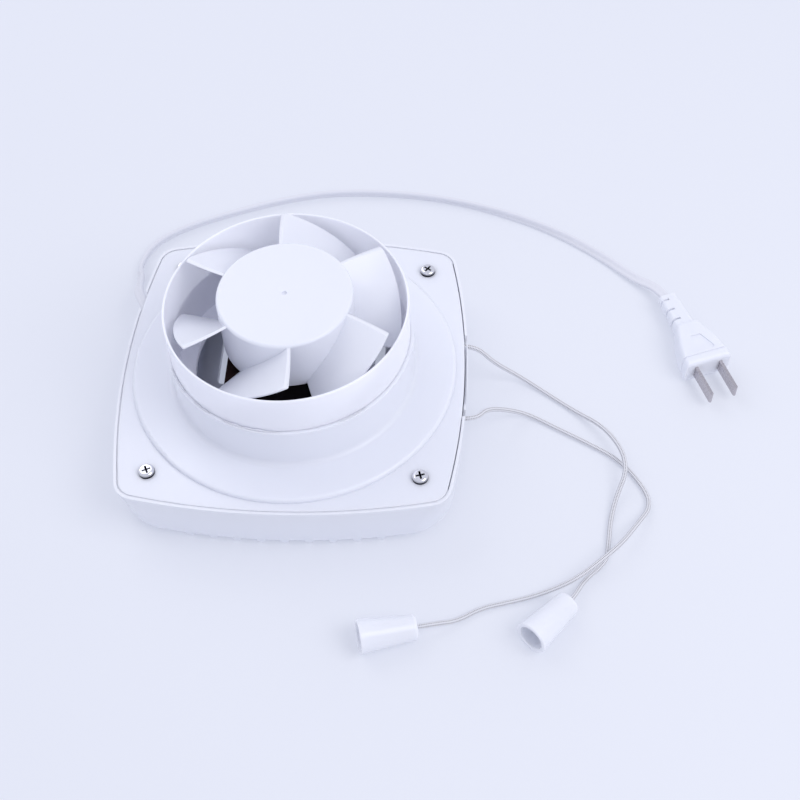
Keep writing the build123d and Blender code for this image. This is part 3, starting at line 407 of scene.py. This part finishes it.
def tube_piece(name, line, section, material, body, twist=((0.0, 0.0), (1.0, 0.0))):
    """Mesh tube that follows a line; section is a closed outline of (across, upwards) points in metres."""
    vertices = []
    travelled = [0.0]
    for a, b in zip(line, line[1:]):
        travelled.append(travelled[-1] + (b - a).length)
    for index, place in enumerate(line):
        before = line[max(0, index - 1)]
        after = line[min(len(line) - 1, index + 1)]
        ahead = (after - before).normalized()
        across = ahead.cross(Vector((0, 0, 1))).normalized()
        upwards = across.cross(ahead)
        angle = twist_at(travelled[index] / travelled[-1], twist)
        wide = across * math.cos(angle) + upwards * math.sin(angle)
        thick = upwards * math.cos(angle) - across * math.sin(angle)
        for x, y in section:
            corner = place + wide * x + thick * y
            corner.z = max(corner.z, 0.0)  # pressed flat where it would go below the floor
            vertices.append(corner)
    count = len(section)
    faces = []
    face_uvs = []
    for ring in range(len(line) - 1):
        for side in range(count):
            beside = (side + 1) % count
            faces.append((
                ring * count + side, ring * count + beside,
                (ring + 1) * count + beside, (ring + 1) * count + side,
            ))
            left, right = side / count, (side + 1) / count
            low, high = travelled[ring], travelled[ring + 1]
            face_uvs += [(left, low), (right, low), (right, high), (left, high)]
    for ring in (0, len(line) - 1):
        cap = [ring * count + side for side in range(count)]
        faces.append(tuple(cap) if ring else tuple(reversed(cap)))
        face_uvs += [(0.0, travelled[ring])] * count
    mesh = bpy.data.meshes.new(name)
    mesh.from_pydata(vertices, [], faces)
    layer = mesh.uv_layers.new(name="UVMap")
    for loop, uv in zip(layer.data, face_uvs):
        loop.uv = uv
    mesh.flip_normals()
    for polygon in mesh.polygons:
        polygon.use_smooth = len(polygon.vertices) == 4
    mesh.materials.append(material)
    piece = bpy.data.objects.new(name, mesh)
    bpy.context.scene.collection.objects.link(piece)
    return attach(piece, body)


def round_section(radius, count):
    """Outline of a round cord."""
    angles = [math.tau * n / count for n in range(count)]
    return [(radius * math.cos(angle), radius * math.sin(angle)) for angle in angles]


def twin_section(width, thickness, count):
    """Outline of a flat twin flex: two round cores side by side, with a shallow groove between them."""
    core = thickness / 2
    spread = width / 2 - core
    groove_depth = 0.3
    groove_width = 0.4 * MM
    outline = []
    for n in range(count):
        angle = math.tau * n / count
        x = spread * math.tanh(3.5 * math.cos(angle)) + core * math.cos(angle)
        pinch = 1.0 - groove_depth * math.exp(-((x / groove_width) ** 2))
        swell = math.copysign(abs(math.sin(angle)) ** 0.8, math.sin(angle))
        outline.append((x, core * pinch * swell))
    return outline


def make_cords():
    """The mains cord and the two braided pull cords."""
    line = even_line(smooth_line("power_line", POWER_ROUTE), 1.6 * MM)
    piece = tube_piece(
        "mains_flex", line, twin_section(MAINS_WIDTH, MAINS_THICKNESS, 40), finishes["cord_white"], "housing",
        POWER_TWIST,
    )
    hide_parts("power_cord")
    for side, route in (("a", PULL_ROUTE_A), ("b", PULL_ROUTE_B)):
        line = even_line(smooth_line(f"pull_line_{side}", route), 0.8 * MM)
        section = round_section(PULL_RADIUS, 16)
        piece = tube_piece(f"braided_pull_{side}", line, section, finishes["braid_white"], f"pull_{side}")
        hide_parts(f"pull_cord_{side}")


# ---------------------------------------------------------------- trim along the joints
FLASH_SPANS = [(203.0, 219.0, 1.0), (226.0, 236.0, 0.7), (243.0, 271.0, 1.3), (-62.0, -48.0, 0.6)]
SEAM_DEPTH = 0.45
SEAM_EDGES = (0.02, 0.37)
SEAM_END_X = 74.0


def at_angle(radius, angle, z):
    """Point in metres, from a radius and a height in mm."""
    return radius * MM * math.cos(angle), radius * MM * math.sin(angle), z * MM


def band_faces(rings, count, closed):
    """Quads between neighbouring rings of count vertices; closed joins the last ring to the first."""
    faces = []
    for ring in range(rings if closed else rings - 1):
        after = (ring + 1) % rings
        for side in range(count):
            beside = (side + 1) % count
            near, far = ring * count, after * count
            faces.append((near + side, far + side, far + beside, near + beside))
    return faces


def housing_piece(name, vertices, faces, smooth=False):
    """White mesh piece that rides on the housing."""
    mesh = bpy.data.meshes.new(name)
    mesh.from_pydata(vertices, [], faces)
    mesh.polygons.foreach_set("use_smooth", [smooth] * len(faces))
    mesh.materials.append(finishes["housing_white"])
    piece = bpy.data.objects.new(name, mesh)
    bpy.context.scene.collection.objects.link(piece)
    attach(piece, "housing")


def make_flash():
    """Ragged moulding flash on the collar's inner edge; a span is (first and last degree, height in mm)."""
    for number, (first, last, height) in enumerate(FLASH_SPANS):
        steps = round((last - first) / 0.5)
        vertices = []
        for step in range(steps + 1):
            share = step / steps
            angle = math.radians(first + (last - first) * share)
            ragged = 0.55 + 0.45 * math.sin(9.0 * share + number) * math.cos(23.0 * share + 2 * number)
            rise = height * ragged * math.sin(math.pi * share) ** 0.6 + 0.02
            for out, z in ((0.0, -0.15), (0.85, -0.15), (0.7, rise), (0.3, rise * 0.9)):
                vertices.append(at_angle(COLLAR_BORE_R + out, angle, COLLAR_TOP + z))
        faces = band_faces(steps + 1, 4, closed=False)
        faces.append((0, 1, 2, 3))
        faces.append(tuple(4 * steps + side for side in (3, 2, 1, 0)))
        housing_piece(f"collar_flash_{number}", vertices, faces)


def make_joint_bead():
    """Bead that hides the 0.15 mm joint above the collar. It's not a piece of the real fan."""
    steps = 240
    inner, outer = COLLAR_BORE_R - 0.2, COLLAR_BORE_R - 0.005
    low, high = COLLAR_TOP - 0.04, COLLAR_TOP + 0.13
    vertices = []
    for step in range(steps):
        for radius, z in ((inner, low), (outer, low), (outer, high), (inner, high)):
            vertices.append(at_angle(radius, math.tau * step / steps, z))
    housing_piece("joint_bead", vertices, band_faces(steps, 4, closed=True), smooth=True)


def plate_outline():
    """Convex outline of the rear plate, seen from above, as points in order round it."""
    corners = [v.co for v in bpy.data.objects["rear_plate"].data.vertices]
    low, high = (PLATE_TOP - 1.0) * MM, (PLATE_TOP + 0.01) * MM
    places = sorted({(c.x, c.y) for c in corners if low < c.z < high})
    loop = []
    for ordered in (places, places[::-1]):
        half = []
        for place in ordered:
            while len(half) > 1:
                (ax, ay), (bx, by) = half[-2], half[-1]
                if (bx - ax) * (place[1] - ay) - (by - ay) * (place[0] - ax) > 0:
                    break
                half.pop()
            half.append(place)
        loop += half[:-1]
    return loop


def make_seam_floor():
    """Floor that makes the seam round the plate look shallow, except on the side of the pull cords.

    It's not a piece of the real fan.
    """
    loop = plate_outline()
    vertices = []
    for number, (x, y) in enumerate(loop):
        before, after = Vector(loop[number - 1]), Vector(loop[(number + 1) % len(loop)])
        along = (after - before).normalized()
        for out in SEAM_EDGES:
            vertices.append((x + along.y * out * MM, y - along.x * out * MM, (PLATE_TOP - SEAM_DEPTH) * MM))
    faces = []
    for number, (x, _) in enumerate(loop):
        after = (number + 1) % len(loop)
        if max(x, loop[after][0]) < SEAM_END_X * MM:
            faces.append((2 * number, 2 * number + 1, 2 * after + 1, 2 * after))
    housing_piece("seam_floor", vertices, faces)


make_camera()
make_studio()
dress_nodes()
make_cords()
make_flash()
make_joint_bead()
make_seam_floor()
